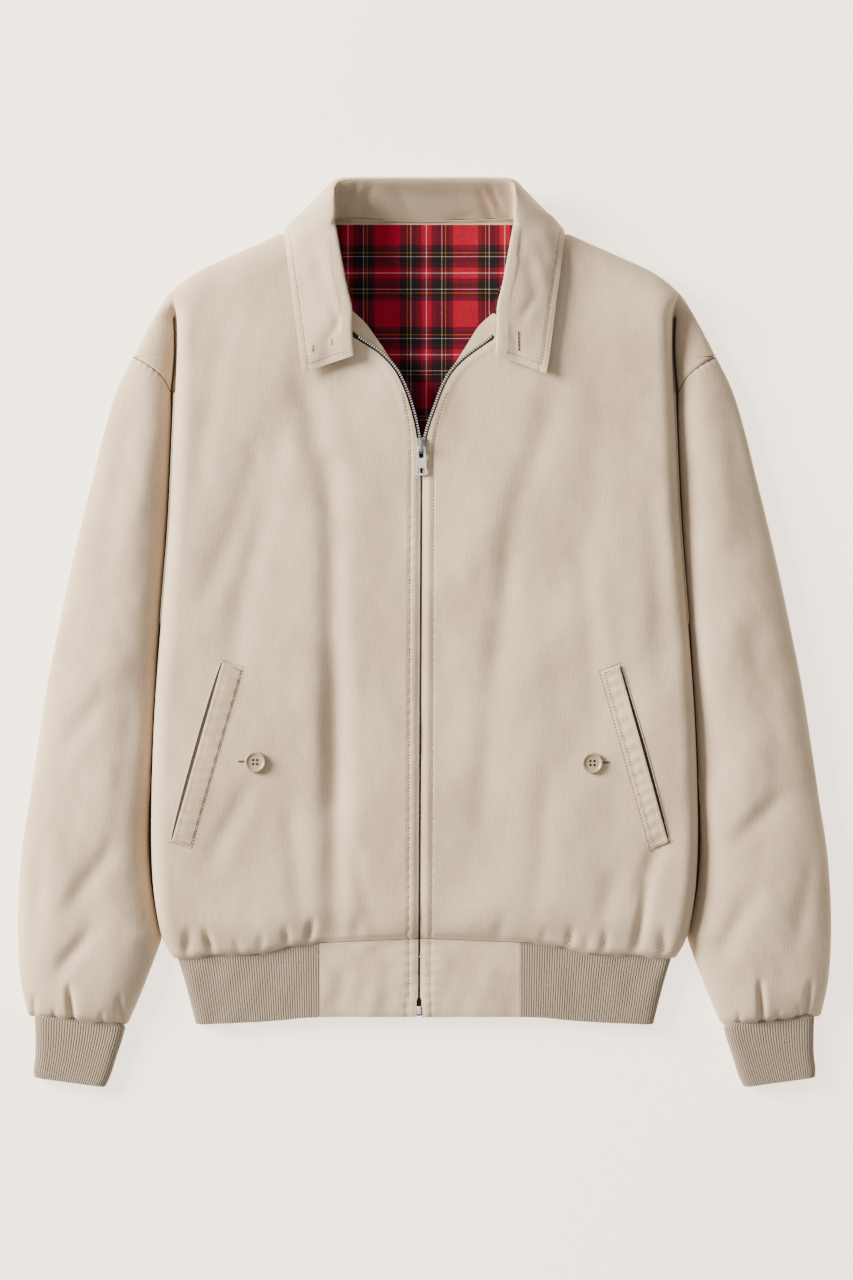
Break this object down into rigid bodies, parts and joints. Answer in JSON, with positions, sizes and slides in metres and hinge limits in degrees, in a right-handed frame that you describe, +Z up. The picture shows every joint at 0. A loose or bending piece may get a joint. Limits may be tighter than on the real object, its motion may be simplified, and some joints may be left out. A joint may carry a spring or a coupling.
{
  "type": "harrington jacket laid flat",
  "caption": "Zip-front blouson jacket laid face up with sleeves at the sides, fold-over collar, ribbed cuffs and hem, slanted pockets.",
  "frame": {"origin": "on the surface that the jacket lies on, under the middle of its bounding box", "axes": "+X the wearer's left, +Y from hem to collar, +Z up out of the front"},
  "size_m": [0.736, 0.82, 0.0425],
  "materials": {
    "shell_cotton": "matte poplin weave, stone beige",
    "rib_knit": "vertical rib knit, stone beige",
    "tartan_lining": "red tartan twill",
    "zip_tape": "dark woven tape with metal teeth",
    "zip_metal": "satin nickel plate",
    "button_resin": "cream-beige moulded resin, slight gloss"
  },
  "bodies": {
    "jacket": {"back_panel": "shell_cotton", "front_left": "shell_cotton", "front_right": "shell_cotton", "sleeve_left": "shell_cotton", "sleeve_right": "shell_cotton", "cuff_left": "rib_knit", "cuff_right": "rib_knit", "hem_rib": "rib_knit", "hem_band_left": "shell_cotton", "hem_band_right": "shell_cotton", "collar": "shell_cotton", "lining_back": "tartan_lining", "lining_front_left": "tartan_lining", "lining_front_right": "tartan_lining", "facing_left": "shell_cotton", "facing_right": "shell_cotton", "zip_tape_left": "zip_tape", "zip_tape_right": "zip_tape", "zip_slider": "zip_metal", "zip_box": "zip_metal", "pocket_welt_left": "shell_cotton", "pocket_welt_right": "shell_cotton", "button_left": "button_resin", "button_right": "button_resin"},
    "pull_tab": {"zip_pull": "zip_metal"}
  },
  "joints": [
    {"name": "pull_tab_swing", "type": "hinge", "parent": "jacket", "child": "pull_tab", "pos_m": [-0.0029, 0.1676, 0.0302], "axis": [-1, 0, 0], "range_deg": [0, 170]}
  ]
}
